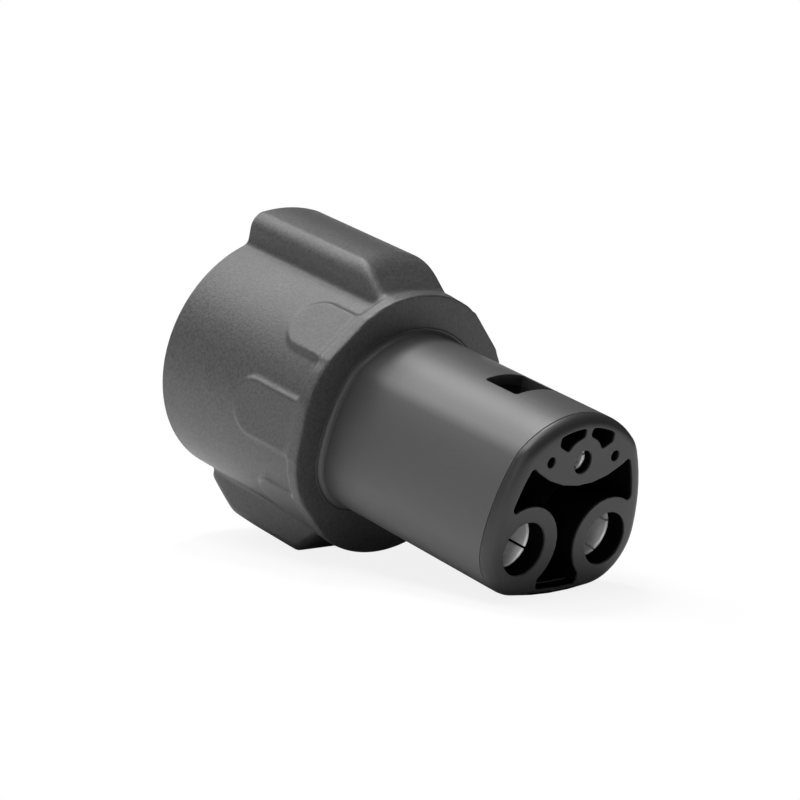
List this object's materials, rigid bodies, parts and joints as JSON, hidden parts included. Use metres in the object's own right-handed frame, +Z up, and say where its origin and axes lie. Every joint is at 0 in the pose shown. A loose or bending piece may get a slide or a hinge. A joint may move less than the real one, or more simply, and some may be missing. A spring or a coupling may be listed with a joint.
{
  "type": "electric vehicle charging adapter",
  "caption": "Handheld adapter with a round pin socket at the back and a rounded contact nose at the front, ribs and grip pads between.",
  "frame": {"origin": "centre of the outer box, on the surface that the adapter lies on", "axes": "+X towards the nose, which points 13.9 degrees down as the adapter lies at rest, +Y across, +Z up"},
  "size_m": [0.101, 0.0522, 0.0692],
  "materials": {
    "housing_plastic": "fine textured moulding",
    "nose_plastic": "smooth satin moulding",
    "face_plastic": "smooth satin moulding",
    "carrier_plastic": "matt moulding",
    "seal_rubber": "matt",
    "link_copper": "folded copper strip",
    "spring_steel": "bright steel",
    "contact_metal": "silver plate on turned brass"
  },
  "bodies": {
    "root": {"barrel_housing": "housing_plastic", "nose_seal": "seal_rubber", "nose_sleeve": "nose_plastic", "nose_face": "face_plastic", "contact_housing": "face_plastic", "contact_base": "face_plastic", "pin_carrier": "carrier_plastic", "carrier_ring": "carrier_plastic", "carrier_seal": "seal_rubber", "line_pin_left": "contact_metal", "line_pin_right": "contact_metal", "ground_pin": "contact_metal", "pilot_pin": "contact_metal", "proximity_pin": "contact_metal", "power_socket_left": "contact_metal", "power_socket_right": "contact_metal", "tine_spring_left": "spring_steel", "tine_spring_right": "spring_steel", "ground_socket": "contact_metal", "pilot_socket": "contact_metal", "proximity_socket": "contact_metal", "line_link_left": "link_copper", "line_link_right": "link_copper", "ground_link": "link_copper", "pilot_link": "link_copper", "proximity_link": "link_copper", "fixing_screws": "spring_steel"}
  },
  "joints": []
}
